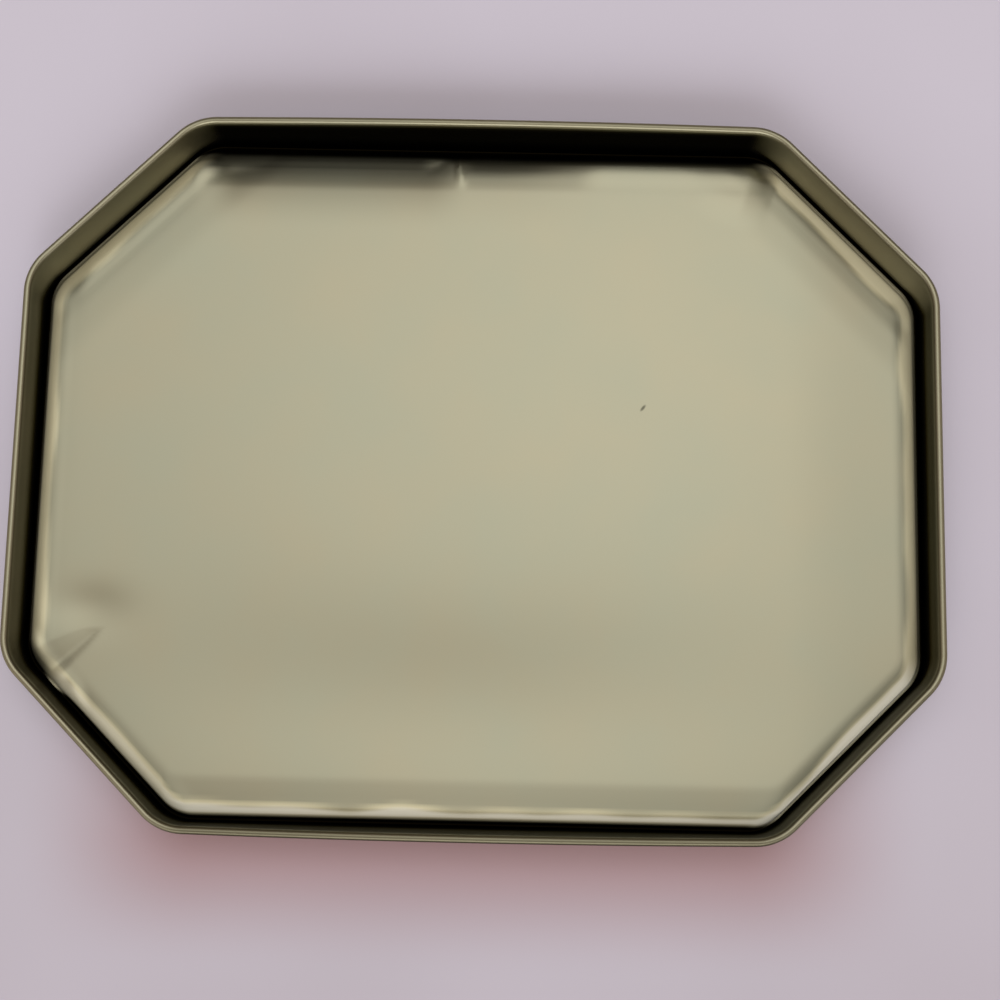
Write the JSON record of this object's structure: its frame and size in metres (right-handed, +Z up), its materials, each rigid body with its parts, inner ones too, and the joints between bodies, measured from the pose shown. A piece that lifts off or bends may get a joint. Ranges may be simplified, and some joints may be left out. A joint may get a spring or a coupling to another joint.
{
  "type": "octagonal tin lid",
  "caption": "Shallow octagonal tinplate lid, open side up, with a raised flat panel, a narrow channel inside the wall and an outward curled rim bead.",
  "frame": {"origin": "under the middle of the lid, at the level of the ring it rests on", "axes": "+Z up out of the lid's open side, +X along its length, +Y along its width"},
  "size_m": [0.24, 0.1886, 0.0164],
  "materials": {
    "lacquered_tinplate": "satin, pale gold lacquer over tinplate"
  },
  "bodies": {
    "root": {"tin_lid": "lacquered_tinplate"}
  },
  "joints": []
}
